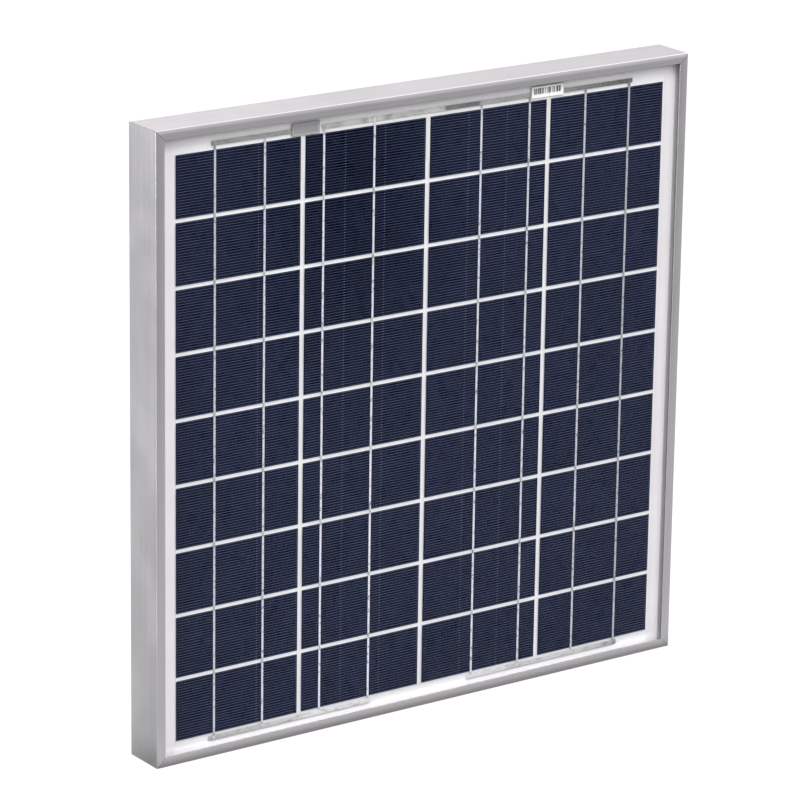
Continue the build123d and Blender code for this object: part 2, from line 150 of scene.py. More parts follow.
def mix(nt, fac, a, b, mode="MIX"):
    n = nt.nodes.new("ShaderNodeMix")
    n.data_type = "RGBA"
    n.blend_type = mode
    for sock, val in ((n.inputs["Factor"], fac), (n.inputs["A"], a), (n.inputs["B"], b)):
        pass
    fa = [s for s in n.inputs if s.name == "Factor" and s.type == "VALUE"][0]
    ca = [s for s in n.inputs if s.name == "A" and s.type == "RGBA"][0]
    cb = [s for s in n.inputs if s.name == "B" and s.type == "RGBA"][0]
    for s, v in ((fa, fac), (ca, a), (cb, b)):
        if isinstance(v, bpy.types.NodeSocket):
            nt.links.new(v, s)
        elif s is fa:
            s.default_value = v
        else:
            s.default_value = (*v, 1)
    return [s for s in n.outputs if s.type == "RGBA"][0]


def math_node(nt, op, a, b=None, c=None):
    n = nt.nodes.new("ShaderNodeMath")
    n.operation = op
    for i, v in enumerate((a, b, c)):
        if v is None:
            continue
        if isinstance(v, bpy.types.NodeSocket):
            nt.links.new(v, n.inputs[i])
        else:
            n.inputs[i].default_value = v
    return n.outputs[0]


def bump(nt, p, height, strength=0.1, distance=0.001, prior=None):
    b = nt.nodes.new("ShaderNodeBump")
    b.inputs["Strength"].default_value = strength
    b.inputs["Distance"].default_value = distance
    nt.links.new(height, b.inputs["Height"])
    if prior is not None:
        nt.links.new(prior, b.inputs["Normal"])
    nt.links.new(b.outputs[0], p.inputs["Normal"])
    return b.outputs[0]


# ------------------------------------------------------------------ materials
def aluminium(name, along, tint, lip_painted_light=1.0, top_painted_light=None):
    """Clear-anodised extrusion: fine die lines along the bar, faint bands and small scuffs."""
    m, nt, out = new_material(name)
    p = principled(nt, out, rough=0.36, metal=1.0)
    fine = tuple(5.0 if i == along else 2600.0 for i in range(3))
    band = tuple(0.8 if i == along else 240.0 for i in range(3))
    f = noise(nt, coords(nt, fine), detail=3, rough=0.6)
    b = noise(nt, coords(nt, band), detail=2, rough=0.5)
    cloud = noise(nt, coords(nt, (18, 18, 18)), detail=3)
    shade = math_node(nt, "ADD", math_node(nt, "MULTIPLY", f, 0.35), math_node(nt, "MULTIPLY", b, 0.65))
    col = ramp(nt, shade, [(0.30, tuple(0.492 * t for t in tint)), (0.5, tuple(0.522 * t for t in tint)), (0.70, tuple(0.552 * t for t in tint))])
    sep = nt.nodes.new("ShaderNodeSeparateXYZ")
    nt.links.new(coords(nt, (1, 1, 1)), sep.inputs[0])
    lip = math_node(nt, "LESS_THAN", sep.outputs[1], -0.0159)
    if top_painted_light:
        # painted light and shade: the top face is painted lighter towards its left end and darker towards its right end
        top = math_node(nt, "MULTIPLY", math_node(nt, "GREATER_THAN", sep.outputs[2], 0.4604), math_node(nt, "SUBTRACT", 1.0, lip))
        col = mix(nt, top, col, mix(nt, 1.0, col, remap(nt, sep.outputs[0], top_painted_light[0], top_painted_light[1], -0.2295, 0.2295), "MULTIPLY"))
    # painted light: the front lip is painted brighter than the rest of the bar
    if lip_painted_light != 1.0:
        col = mix(nt, lip, col, mix(nt, 1.0, col, (lip_painted_light, lip_painted_light, lip_painted_light), "MULTIPLY"))
    if top_painted_light:
        # painted highlight: the outer turn of the top lip is painted brighter
        col = mix(nt, lip, col, mix(nt, 1.0, col, remap(nt, sep.outputs[2], 1.0, 1.24, 0.4582, 0.4596), "MULTIPLY"))
    nt.links.new(col, p.inputs["Base Color"])
    r = math_node(nt, "ADD", remap(nt, f, 0.30, 0.38, 0.3, 0.7), remap(nt, cloud, 0.0, 0.07, 0.35, 0.65))
    nt.links.new(r, p.inputs["Roughness"])
    bump(nt, p, f, 0.10, 0.00004)
    return m


def simple_metal(name, color, rough, scale=900.0, bump_s=0.15, metal=1.0, spread=0.12):
    m, nt, out = new_material(name)
    p = principled(nt, out, color=color, rough=rough, metal=metal)
    n = noise(nt, coords(nt, (scale, scale, scale)), detail=3)
    c = ramp(nt, n, [(0.3, tuple(max(0.0, c * (1 - spread)) for c in color)), (0.7, tuple(min(1.0, c * (1 + spread)) for c in color))])
    nt.links.new(c, p.inputs["Base Color"])
    nt.links.new(remap(nt, n, rough * 0.8, rough * 1.25, 0.3, 0.7), p.inputs["Roughness"])
    bump(nt, p, n, bump_s, 0.0001)
    return m


def ribbon_material(name, crinkle, rough, metal, stops, tick_depth, tick_scale, joints=None):
    """Tinned copper ribbon: bright tin with short dull ticks at the solder points, and lighter and darker lengths
    painted point by point along it as painted reflection and shade.
    """
    m, nt, out = new_material(name)
    p = principled(nt, out, rough=rough, metal=metal, spec=0.5)
    sep = nt.nodes.new("ShaderNodeSeparateXYZ")
    nt.links.new(coords(nt, (1, 1, 1)), sep.inputs[0])
    span = remap(nt, sep.outputs[0], 0.0, 1.0, -0.2295, 0.2295)
    hue = (0.99, 1.02, 1.115) if joints else (0.995, 1.0, 1.0)

    # painted reflection and shade: the ribbon's brightness is given point by point along it
    def along(values):
        return ramp(nt, span, [((x + 229.5) / 459.0, (v * hue[0], v * hue[1], min(1.0, v * hue[2]))) for x, v in values])

    ticks = noise(nt, coords(nt, tick_scale), detail=2.5, rough=0.65)
    lo = 1.0 - tick_depth
    tick = ramp(nt, ticks, [(0.33, (lo, lo, lo)), (0.46, (0.97, 0.97, 0.97)), (0.62, (1.0, 1.0, 1.0))])
    col = mix(nt, 1.0, along(stops), tick, "MULTIPLY")
    if joints:
        # dull solder where a tab meets the bus, and a little flux in each gap between two cells
        above = math_node(nt, "GREATER_THAN", sep.outputs[2], FIELD_TOP + 0.0004)
        hue = (1.0, 1.0, 1.0)
        col = mix(nt, above, col, mix(nt, 1.0, col, along(joints), "MULTIPLY"))
        phase = math_node(nt, "MODULO", math_node(nt, "SUBTRACT", FIELD_TOP, sep.outputs[2]), ROW)
        gap = math_node(nt, "GREATER_THAN", phase, CELL_H)
        col = mix(nt, gap, col, mix(nt, 1.0, col, (0.82, 0.79, 0.72), "MULTIPLY"))
    nt.links.new(col, p.inputs["Base Color"])
    c1 = noise(nt, coords(nt, (240, 240, 240)), detail=3, rough=0.6, distortion=0.6)
    nt.links.new(remap(nt, ticks, rough * 1.25, rough * 0.8, 0.35, 0.65), p.inputs["Roughness"])
    bump(nt, p, c1, 0.5 * crinkle, 0.0010)
    return m


def sheet_material():
    """White laminated polymer sheet, a touch brighter where the cells' glass throws light back on it."""
    m, nt, out = new_material("white_backsheet")
    p = principled(nt, out, rough=0.42, spec=0.4)
    sep = nt.nodes.new("ShaderNodeSeparateXYZ")
    nt.links.new(coords(nt, (1, 1, 1)), sep.inputs[0])
    side = math_node(nt, "ABSOLUTE", sep.outputs[0])
    inside = remap(nt, side, 1.0, 0.0, 0.2105, 0.2135)
    front = remap(nt, sep.outputs[1], 1.0, 0.0, sheet_lo.y + 0.0001, sheet_lo.y + 0.0002)
    n = noise(nt, coords(nt, (40, 40, 40)), detail=3)
    tone = ramp(nt, n, [(0.3, (0.985, 0.988, 0.993)), (0.7, (1.0, 1.002, 1.008))])
    height = remap(nt, sep.outputs[2], 0.0, 1.0, 0.0, 0.461)
    # painted light and shade by height: the cell field is painted brightest, the bottom margin pale with a greyer band
    # above it, and the top margin under the top lip grey as painted shade
    painted_light_by_height = ramp(nt, height, [(0.0, (0.93, 0.925, 0.93)), (0.0206, (0.93, 0.925, 0.93)), (0.0225, (0.80, 0.795, 0.80)), (0.029, (0.80, 0.795, 0.80)), (0.033, (0.968, 0.985, 1.0)), (0.956, (0.968, 0.985, 1.0)), (0.962, (0.82, 0.82, 0.82)), (1.0, (0.82, 0.82, 0.82))])
    # painted light and shade beside the side lips: greyer towards the cells, paler just inside each lip as painted
    # light, and grey under the lips as painted shade
    edge = ramp(nt, remap(nt, side, 0.0, 1.0, 0.2105, 0.2245), [(0.0, (0.80, 0.78, 0.80)), (0.3, (0.82, 0.80, 0.82)), (0.64, (0.90, 0.875, 0.90)), (0.84, (0.96, 0.935, 0.96)), (0.88, (0.68, 0.66, 0.68)), (1.0, (0.68, 0.66, 0.68))])
    # the three upright gaps between strings are a shade greyer than the gaps between rows
    across = math_node(nt, "MODULO", math_node(nt, "ADD", sep.outputs[0], 0.371875), 0.10625)
    gap = math_node(nt, "LESS_THAN", math_node(nt, "ABSOLUTE", math_node(nt, "SUBTRACT", across, 0.053125)), 0.0023)
    field = math_node(nt, "MULTIPLY", math_node(nt, "GREATER_THAN", sep.outputs[2], 0.0136), math_node(nt, "LESS_THAN", sep.outputs[2], 0.4415))
    painted_light_by_height = mix(nt, math_node(nt, "MULTIPLY", gap, field), painted_light_by_height, mix(nt, 1.0, painted_light_by_height, (0.885, 0.875, 0.885), "MULTIPLY"))
    faced = mix(nt, 1.0, mix(nt, inside, edge, painted_light_by_height), tone, "MULTIPLY")
    col = mix(nt, front, mix(nt, 1.0, (0.83, 0.83, 0.83), tone, "MULTIPLY"), faced)
    nt.links.new(col, p.inputs["Base Color"])
    g = noise(nt, coords(nt, (600, 600, 600)), detail=2)
    nt.links.new(remap(nt, g, 0.37, 0.47, 0.3, 0.7), p.inputs["Roughness"])
    # the laminate swells a little where it runs under the bottom and right lips
    geo = nt.nodes.new("ShaderNodeNewGeometry")
    low = ramp(nt, remap(nt, sep.outputs[2], 0.0, 1.0, 0.0, 0.02), [(0.0, (0.48, 0.48, 0.48)), (0.45, (0.48, 0.48, 0.48)), (0.56, (0.17, 0.17, 0.17)), (0.66, (0.0, 0.0, 0.0))])
    far_side = ramp(nt, remap(nt, sep.outputs[0], 0.0, 1.0, 0.2105, 0.2245), [(0.4, (0.0, 0.0, 0.0)), (0.66, (0.10, 0.10, 0.10)), (0.83, (0.30, 0.30, 0.30)), (0.88, (0.0, 0.0, 0.0))])
    lean = nt.nodes.new("ShaderNodeCombineXYZ")
    nt.links.new(math_node(nt, "MULTIPLY", front, math_node(nt, "MAXIMUM", low, far_side)), lean.inputs[2])
    tilted = nt.nodes.new("ShaderNodeVectorMath")
    tilted.operation = "ADD"
    nt.links.new(geo.outputs["Normal"], tilted.inputs[0])
    nt.links.new(lean.outputs[0], tilted.inputs[1])
    unit = nt.nodes.new("ShaderNodeVectorMath")
    unit.operation = "NORMALIZE"
    nt.links.new(tilted.outputs[0], unit.inputs[0])
    bump(nt, p, g, 0.08, 0.0002, unit.outputs[0])
    return m


def painted_cell_shade(nt, sxyz, low):
    """Painted shade: the top cells of the second string are painted darker, fading out over their neighbours."""
    dx = math_node(nt, "DIVIDE", math_node(nt, "ADD", sxyz.outputs[0], 0.068), 0.075)
    dz = math_node(nt, "DIVIDE", math_node(nt, "MAXIMUM", math_node(nt, "SUBTRACT", 0.41, sxyz.outputs[2]), 0.0), 0.117)
    far = math_node(nt, "ADD", math_node(nt, "MULTIPLY", dx, dx), math_node(nt, "POWER", dz, 3.0))
    stops = [(pos, tuple(1.0 - (1.0 - c) * k for c in low)) for pos, k in ((0.0, 1.0), (0.06, 0.80), (0.12, 0.61), (0.25, 0.37), (0.5, 0.13), (0.85, 0.0))]
    return ramp(nt, remap(nt, far, 0.0, 1.0, 0.0, 4.0), stops)


def cell_material():
    """Polycrystalline silicon: dark blue coating over crystal grains, each cell a little different."""
    m, nt, out = new_material("silicon_cell")
    p = principled(nt, out, rough=0.35, metal=0.0, spec=0.05)
    vec = coords(nt, (1, 1, 1))
    warp = noise(nt, coords(nt, (70, 70, 70)), detail=2)
    vm = nt.nodes.new("ShaderNodeVectorMath")
    vm.operation = "ADD"
    nt.links.new(vec, vm.inputs[0])
    sc = nt.nodes.new("ShaderNodeVectorMath")
    sc.operation = "SCALE"
    wn = nt.nodes.new("ShaderNodeTexNoise")
    wn.inputs["Scale"].default_value = 90.0
    nt.links.new(vec, wn.inputs["Vector"])
    nt.links.new(wn.outputs["Color"], sc.inputs[0])
    sc.inputs["Scale"].default_value = 0.006
    nt.links.new(sc.outputs[0], vm.inputs[1])
    vor = nt.nodes.new("ShaderNodeTexVoronoi")
    vor.inputs["Scale"].default_value = 150.0
    vor.inputs["Randomness"].default_value = 1.0
    nt.links.new(vm.outputs[0], vor.inputs["Vector"])
    sep = nt.nodes.new("ShaderNodeSeparateColor")
    nt.links.new(vor.outputs["Color"], sep.inputs[0])
    # one shade for each cell, from its column and row
    sxyz = nt.nodes.new("ShaderNodeSeparateXYZ")
    nt.links.new(vec, sxyz.inputs[0])
    cx = math_node(nt, "FLOOR", math_node(nt, "DIVIDE", math_node(nt, "ADD", sxyz.outputs[0], 0.2125), 0.10625))
    cz = math_node(nt, "FLOOR", math_node(nt, "DIVIDE", math_node(nt, "SUBTRACT", sxyz.outputs[2], 0.0126 + 0.0), 0.0476))
    comb = nt.nodes.new("ShaderNodeCombineXYZ")
    nt.links.new(cx, comb.inputs[0])
    nt.links.new(cz, comb.inputs[1])
    wn2 = nt.nodes.new("ShaderNodeTexWhiteNoise")
    nt.links.new(comb.outputs[0], wn2.inputs[0])
    per_cell = wn2.outputs["Value"]
    base = ramp(nt, sep.outputs[0], [(0.0, (0.0048, 0.0064, 0.0205)), (0.45, (0.0056, 0.0074, 0.0235)), (0.8, (0.0064, 0.0083, 0.0265)), (1.0, (0.0078, 0.0096, 0.0305))])
    tint = ramp(nt, per_cell, [(0.0, (0.84, 0.87, 0.90)), (0.5, (0.93, 0.935, 0.955)), (1.0, (1.02, 0.98, 1.03))])
    col = mix(nt, 1.0, base, tint, "MULTIPLY")
    # painted shade patch over the top cells of the second string
    dark = painted_cell_shade(nt, sxyz, (0.10, 0.20, 0.42))
    col = mix(nt, 1.0, col, dark, "MULTIPLY")
    nt.links.new(col, p.inputs["Base Color"])
    nt.links.new(remap(nt, sep.outputs[1], 0.24, 0.42), p.inputs["Roughness"])
    fine = noise(nt, coords(nt, (4000, 4000, 4000)), detail=1)
    bump(nt, p, fine, 0.05, 0.00005)
    return m


def plastic(name, color, rough, grain=2500.0, depth=0.12, spec=0.5, spread=0.15, low=None):
    m, nt, out = new_material(name)
    p = principled(nt, out, color=color, rough=rough, spec=spec)
    n = noise(nt, coords(nt, (grain, grain, grain)), detail=2)
    wide = noise(nt, coords(nt, (40, 40, 40)), detail=3)
    c = ramp(nt, wide, [(0.3, tuple(max(0.0, x * (1 - spread)) for x in color)), (0.7, tuple(min(1.0, x * (1 + spread)) for x in color))])
    if low:
        # the same painted shade patch as on the cells
        sep = nt.nodes.new("ShaderNodeSeparateXYZ")
        nt.links.new(coords(nt, (1, 1, 1)), sep.inputs[0])
        c = mix(nt, 1.0, c, painted_cell_shade(nt, sep, low), "MULTIPLY")
    nt.links.new(c, p.inputs["Base Color"])
    nt.links.new(remap(nt, n, rough * 0.88, min(1.0, rough * 1.12), 0.3, 0.7), p.inputs["Roughness"])
    bump(nt, p, n, depth, 0.0002)
    return m


def glass_material():
    """Low-iron solar glass: clear, with a faint pebbled surface that softens its gloss."""
    m, nt, out = new_material("solar_glass")
    tr = nt.nodes.new("ShaderNodeBsdfTransparent")
    tr.inputs[0].default_value = (0.994, 0.994, 0.994, 1)
    gl = nt.nodes.new("ShaderNodeBsdfGlossy")
    gl.inputs["Roughness"].default_value = 0.16
    n = noise(nt, coords(nt, (700, 700, 700)), detail=2)
    b = nt.nodes.new("ShaderNodeBump")
    b.inputs["Strength"].default_value = 0.06
    b.inputs["Distance"].default_value = 0.0002
    nt.links.new(n, b.inputs["Height"])
    nt.links.new(b.outputs[0], gl.inputs["Normal"])
    fr = nt.nodes.new("ShaderNodeFresnel")
    fr.inputs["IOR"].default_value = 1.15
    nt.links.new(b.outputs[0], fr.inputs["Normal"])
    geo = nt.nodes.new("ShaderNodeNewGeometry")
    front = math_node(nt, "SUBTRACT", 1.0, geo.outputs["Backfacing"])
    fac = math_node(nt, "MULTIPLY", fr.outputs[0], front)
    ms = nt.nodes.new("ShaderNodeMixShader")
    nt.links.new(fac, ms.inputs[0])
    nt.links.new(tr.outputs[0], ms.inputs[1])
    nt.links.new(gl.outputs[0], ms.inputs[2])
    nt.links.new(ms.outputs[0], out.inputs[0])
    return m


def film_material(name):
    """Clear laminating film: passes nearly all light, with a faint cloudiness."""
    m, nt, out = new_material(name)
    tr = nt.nodes.new("ShaderNodeBsdfTransparent")
    n = noise(nt, coords(nt, (30, 30, 30)), detail=2)
    c = ramp(nt, n, [(0.3, (0.990, 0.989, 0.990)), (0.7, (0.999, 0.998, 0.999))])
    nt.links.new(c, tr.inputs[0])
    nt.links.new(tr.outputs[0], out.inputs[0])
    return m


# the fourth argument paints the front lips brighter; the fifth paints the top face lighter to the left, darker to the
# right, and the top lip's outer turn brighter
ALU_V = aluminium("anodised_aluminium_upright", 2, (1.0, 0.986, 1.004), 1.04)
ALU_H = aluminium("anodised_aluminium_cross", 0, (1.0, 0.964, 1.001), 1.07, (1.16, 0.945))
KEY = simple_metal("key_aluminium", (0.50, 0.51, 0.52), 0.5, 1200, 0.3)
# the first list is painted brightness along each ribbon (painted reflection and shade); the last gives the dull solder
# where tabs meet the bus
RIBBON = ribbon_material("tinned_ribbon_tabs", 0.35, 0.42, 0.6,
                         [(-229, 0.679), (-179, 0.698), (-138, 0.789), (-89, 0.9), (-46, 0.918), (47, 0.845), (89, 0.771), (139, 0.679), (179, 0.569), (229, 0.551)],
                         0.62, (420, 420, 330),
                         [(-229, 0.5), (-179, 0.5), (-138, 0.85), (-89, 0.75), (-46, 0.95), (30, 0.7), (47, 0.6), (89, 0.5), (139, 0.5), (179, 0.4), (229, 0.4)])
BUS_TOP = ribbon_material("tinned_ribbon_top_bus", 1.0, 0.34, 0.7,
                          [(-229, 0.279), (-182, 0.279), (-179, 0.465), (-168, 0.409), (-160, 0.484), (-120, 0.465), (-99, 0.512), (-90, 0.688), (-76, 0.595), (-70, 0.818), (-60, 0.744),
                           (-54, 0.539), (-50, 0.837), (-40, 0.8), (-36, 0.484), (-31, 0.744), (-10, 0.67), (3, 0.8), (9, 0.874), (13.5, 0.763), (15.5, 0.242), (22, 0.316), (44, 0.242),
                           (46.5, 0.577), (60, 0.521), (82, 0.539), (92, 0.465), (120, 0.409), (140, 0.335), (160, 0.251), (183, 0.205)],
                          0.35, (160, 160, 420))
BUS_BOTTOM = ribbon_material("tinned_ribbon_bottom_bus", 1.0, 0.40, 0.45,
                             [(-229, 0.423), (-184, 0.507), (-170, 0.558), (-154, 0.575), (-140, 0.643), (-105, 0.693), (-101, 0.845), (42, 0.845), (66, 0.812), (78, 0.829), (80, 0.676),
                              (92, 0.643), (110, 0.71), (145, 0.693), (156, 0.626), (164, 0.659), (170, 0.507), (177, 0.49), (180, 0.304), (229, 0.287)],
                             0.35, (160, 160, 420))
CELL = cell_material()
GLASS = glass_material()
FILM = film_material("encapsulant")
SHEET = sheet_material()
STRIP = plastic("white_strip", (0.76, 0.76, 0.76), 0.5, 900.0, 0.05, 0.4, 0.01)
# near-black: the sealant is painted dark as the shadow line under the frame lip
SEAL_PAINTED_SHADE = plastic("silicone_sealant", (0.14, 0.14, 0.14), 0.55, 900.0, 0.2)
BEAD = plastic("white_silicone", (0.62, 0.62, 0.60), 0.42, 500.0, 0.25, 0.5, 0.04)
BLACK = plastic("black_plastic", (0.020, 0.020, 0.022), 0.46, 2600.0, 0.22)
NYLON = plastic("gland_nylon", (0.024, 0.024, 0.026), 0.38, 1800.0, 0.12)
RUBBER = plastic("black_rubber", (0.018, 0.018, 0.018), 0.7, 1600.0, 0.2)
GASKET = plastic("grey_rubber", (0.20, 0.20, 0.21), 0.65, 1600.0, 0.2)
STEEL = simple_metal("stainless_steel", (0.62, 0.62, 0.63), 0.28, 900, 0.1)
TINNED = simple_metal("tinned_brass", (0.70, 0.67, 0.56), 0.34, 700, 0.12)
EPOXY = plastic("diode_epoxy", (0.02, 0.02, 0.02), 0.3, 1400.0, 0.1)
GREY_LABEL = plastic("grey_label", (0.25, 0.25, 0.26), 0.5, 1500.0, 0.08, 0.4, 0.05)
WHITE_LABEL = plastic("white_label", (0.84, 0.84, 0.84), 0.45, 1500.0, 0.05, 0.4, 0.01)
SILVER_LABEL = simple_metal("silver_label", (0.72, 0.73, 0.74), 0.42, 1400, 0.06, 0.7, 0.04)
INK = plastic("label_ink", (0.03, 0.03, 0.03), 0.5, 1500.0, 0.05)
PALE_INK = plastic("label_border", (0.55, 0.55, 0.56), 0.5, 1500.0, 0.05, 0.4, 0.03)
# the print carries the painted shade patch of the cells
SILVER_PRINT = plastic("cell_print", (0.125, 0.155, 0.25), 0.6, 1500.0, 0.1, 0.1, 0.12, (0.62, 0.66, 0.74))
SILVER_PAD = plastic("cell_pad_print", (0.185, 0.213, 0.292), 0.6, 1500.0, 0.1, 0.1, 0.2)

LOOKS = {
    "frame_left": ALU_V, "frame_right": ALU_V, "frame_top": ALU_H, "frame_bottom": ALU_H,
    "front_glass": GLASS, "backsheet": SHEET, "edge_seal": SEAL_PAINTED_SHADE, "lead_insulator": STRIP,
    "front_nameplate": GREY_LABEL, "front_serial_label": WHITE_LABEL, "rear_rating_label": SILVER_LABEL,
    "junction_box_base": BLACK, "junction_box_lid": BLACK, "junction_box_gasket": GASKET, "junction_box_adhesive": GASKET,
    "junction_box_hinge_pin": STEEL, "terminal_screws": STEEL, "gland_locknuts": NYLON,
    "front_encapsulant": FILM, "rear_encapsulant": FILM,
}
PREFIXES = (("corner_key", KEY), ("cell_string", CELL), ("tab_ribbons", RIBBON), ("bus_ribbon_top", BUS_TOP), ("bus_ribbon_bottom", BUS_BOTTOM), ("output_lead", BUS_TOP),
            ("terminal_", TINNED), ("bypass_diode", EPOXY), ("gland_body", NYLON), ("gland_nut", NYLON), ("gland_seal", RUBBER))


def look_for(name):
    if name in LOOKS:
        return LOOKS[name]
    for prefix, mat in PREFIXES:
        if name.startswith(prefix):
            return mat
    raise SystemExit("no look for " + name)


for name, obj in nodes.items():
    mat = look_for(name)
    if not obj.material_slots:
        obj.data.materials.append(mat)
    for s in obj.material_slots:
        s.link = "OBJECT"
        s.material = mat


# ------------------------------------------------------------------ mesh helpers
class Shape:
    """Collects closed boxes and prisms into one mesh."""

    def __init__(self):
        self.v, self.f = [], []

    def box(self, x0, x1, y0, y1, z0, z1):
        n = len(self.v)
        self.v += [(x0, y0, z0), (x1, y0, z0), (x1, y1, z0), (x0, y1, z0), (x0, y0, z1), (x1, y0, z1), (x1, y1, z1), (x0, y1, z1)]
        self.f += [[n + i for i in q] for q in ((0, 3, 2, 1), (4, 5, 6, 7), (0, 1, 5, 4), (1, 2, 6, 5), (2, 3, 7, 6), (3, 0, 4, 7))]

    def make(self, name, mat, body="panel", slot=None, replaces=()):
        me = bpy.data.meshes.new(name)
        me.from_pydata(self.v, [], self.f)
        me.update()
        ob = bpy.data.objects.new(name, me)
        scene.collection.objects.link(ob)
        me.materials.append(mat)
        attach(ob, body)
        if replaces:
            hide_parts(*replaces)
        return ob


# ------------------------------------------------------------------ printed fingers on the cells
PITCH = 1.972 * MM
FINGERS = 23
W_FINGER = 0.20 * MM
T_FINGER = 0.015 * MM
marks = {0: [67.4], 1: [139.9, 173.7], 2: [246.1, 279.9], 3: []}
border = {0: 1, 1: 1, 2: 0, 3: 1}
X_LEFT = cells[0][0].x
pads = Shape()
for c in range(4):
    lo, hi = cells[c]
    s = Shape()
    for r in range(9):
        zt = FIELD_TOP - r * ROW
        z_first = zt - CELL_H / 2 + (FINGERS - 1) / 2 * PITCH
        for k in range(FINGERS):
            z = z_first - k * PITCH
            s.box(lo.x + 0.7 * MM, hi.x - 0.7 * MM, Y_CELL - T_FINGER, Y_CELL + 0.004 * MM, z - W_FINGER / 2, z + W_FINGER / 2)
            for x in marks[c]:
                xm = X_LEFT + x * MM
                pads.box(xm - 0.30 * MM, xm + 0.30 * MM, Y_CELL - T_FINGER * 1.5, Y_CELL + 0.004 * MM, z - 0.26 * MM, z + 0.26 * MM)
        if border[c]:
            xb = hi.x - 1.0 * MM
            s.box(xb - 0.06 * MM, xb + 0.06 * MM, Y_CELL - T_FINGER * 1.2, Y_CELL + 0.004 * MM, zt - CELL_H + 0.7 * MM, zt - 0.7 * MM)
    s.make("cell_fingers_%d" % (c + 1), SILVER_PRINT, slot="tinned_ribbon")
pads.make("cell_finger_pads", SILVER_PAD, slot="tinned_ribbon")

# ------------------------------------------------------------------ encapsulant: fused into one clear sheet by lamination
lo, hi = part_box("front_encapsulant")
x1, z0, z1, r = hi.x - 0.1 * MM, lo.z + 0.1 * MM, hi.z - 0.1 * MM, 2.5 * MM
outline = []
for cx, cz, start in ((x1 - r, z1 - r, 0), (-x1 + r, z1 - r, 90), (-x1 + r, z0 + r, 180), (x1 - r, z0 + r, 270)):
    outline += [(cx + r * math.cos(math.radians(start + 15 * q)), cz + r * math.sin(math.radians(start + 15 * q))) for q in range(7)]
s = Shape()
count = len(outline)
for y in (glass_hi.y + 0.12 * MM, glass_hi.y + 0.20 * MM):
    s.v += [(px, y, pz) for px, pz in outline]
s.f = [list(range(count)), list(range(2 * count - 1, count - 1, -1))]
s.f += [[q, q + count, (q + 1) % count + count, (q + 1) % count] for q in range(count)]
s.make("laminating_film", FILM, slot="encapsulant", replaces=("front_encapsulant", "rear_encapsulant"))

# ------------------------------------------------------------------ sealant where the lip meets the glass, painted near-black as the shadow line under the lip
W2, H = (cad_bounds[1].x - cad_bounds[0].x) / 2, cad_bounds[1].z
a0, a1, y0, y1 = 6.0 * MM, 7.4 * MM, glass_lo.y - 0.14 * MM, glass_lo.y + 0.02 * MM
s = Shape()
s.box(-W2 + a0, -W2 + a1, y0, y1, 6.91 * MM, H - a1)
s.box(W2 - a1, W2 - a0, y0, y1, 6.91 * MM, H - a1)
s.box(-W2 + a0, W2 - a0, y0, y1, H - a1 + 0.01 * MM, H - a0)
s.box(-W2 + a0, W2 - a0, y0, y1, a0, 6.9 * MM)
s.make("lip_sealant_painted_shadow_line", SEAL_PAINTED_SHADE, slot="silicone_sealant")

# ------------------------------------------------------------------ labels: generic bars, plain borders, no lettering
lo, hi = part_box("front_serial_label")
rnd = random.Random(7)
s = Shape()
x = lo.x + 2.0 * MM
while x < hi.x - 2.4 * MM:
    w = rnd.choice([0.4, 0.5, 0.8, 1.1, 1.4]) * MM
    s.box(x, x + w, lo.y - 0.012 * MM, lo.y + 0.01 * MM, lo.z + 2.6 * MM, hi.z - 1.2 * MM)
    x += w + rnd.choice([0.4, 0.5, 0.6, 1.0]) * MM
s.make("serial_label_bars", INK, slot="diode_epoxy")

lo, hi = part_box("front_nameplate")
s = Shape()
t, g = 0.25 * MM, 0.7 * MM
s.box(lo.x + g, hi.x - g, lo.y - 0.012 * MM, lo.y + 0.01 * MM, lo.z + g, lo.z + g + t)
s.box(lo.x + g, hi.x - g, lo.y - 0.012 * MM, lo.y + 0.01 * MM, hi.z - g - t, hi.z - g)
s.box(lo.x + g, lo.x + g + t, lo.y - 0.012 * MM, lo.y + 0.01 * MM, lo.z + g, hi.z - g)
s.box(hi.x - g - t, hi.x - g, lo.y - 0.012 * MM, lo.y + 0.01 * MM, lo.z + g, hi.z - g)
s.make("nameplate_border", PALE_INK, slot="white_label")

lo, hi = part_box("rear_rating_label")
s = Shape()
y0, y1 = hi.y - 0.01 * MM, hi.y + 0.02 * MM
g, t = 2.0 * MM, 0.35 * MM
s.box(lo.x + g, hi.x - g, y0, y1, lo.z + g, lo.z + g + t)
s.box(lo.x + g, hi.x - g, y0, y1, hi.z - g - t, hi.z - g)
s.box(lo.x + g, lo.x + g + t, y0, y1, lo.z + g, hi.z - g)
s.box(hi.x - g - t, hi.x - g, y0, y1, lo.z + g, hi.z - g)
for k in range(1, 7):
    z = lo.z + g + (hi.z - lo.z - 2 * g) * k / 7
    s.box(lo.x + g, hi.x - g, y0, y1, z - t / 3, z + t / 3)
s.box(lo.x + (hi.x - lo.x) * 0.55, lo.x + (hi.x - lo.x) * 0.55 + t, y0, y1, lo.z + g, hi.z - g)
s.make("rating_label_rules", INK, slot="diode_epoxy")

# ------------------------------------------------------------------ rear side: silicone bead round the junction box
def sweep_ring(points, sections, name, mat, body):
    """Closed ring: sections[i] is a list of (outward, rise) pairs placed at points[i] = (x, z, outward direction)."""
    verts, faces = [], []
    n, k = len(points), len(sections[0])
    for (x, z, ox, oz), sec in zip(points, sections):
        for out_d, rise in sec:
            verts.append((x + ox * out_d, sheet_hi.y + rise, z + oz * out_d))
    for i in range(n):
        j = (i + 1) % n
        for a in range(k):
            b = (a + 1) % k
            faces.append((i * k + a, i * k + b, j * k + b, j * k + a))
    me = bpy.data.meshes.new(name)
    me.from_pydata(verts, [], faces)
    me.update()
    bm = bmesh.new()
    bm.from_mesh(me)
    bmesh.ops.recalc_face_normals(bm, faces=bm.faces)
    bm.to_mesh(me)
    bm.free()
    for f in me.polygons:
        f.use_smooth = True
    ob = bpy.data.objects.new(name, me)
    scene.collection.objects.link(ob)
    me.materials.append(mat)
    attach(ob, body)
    return ob


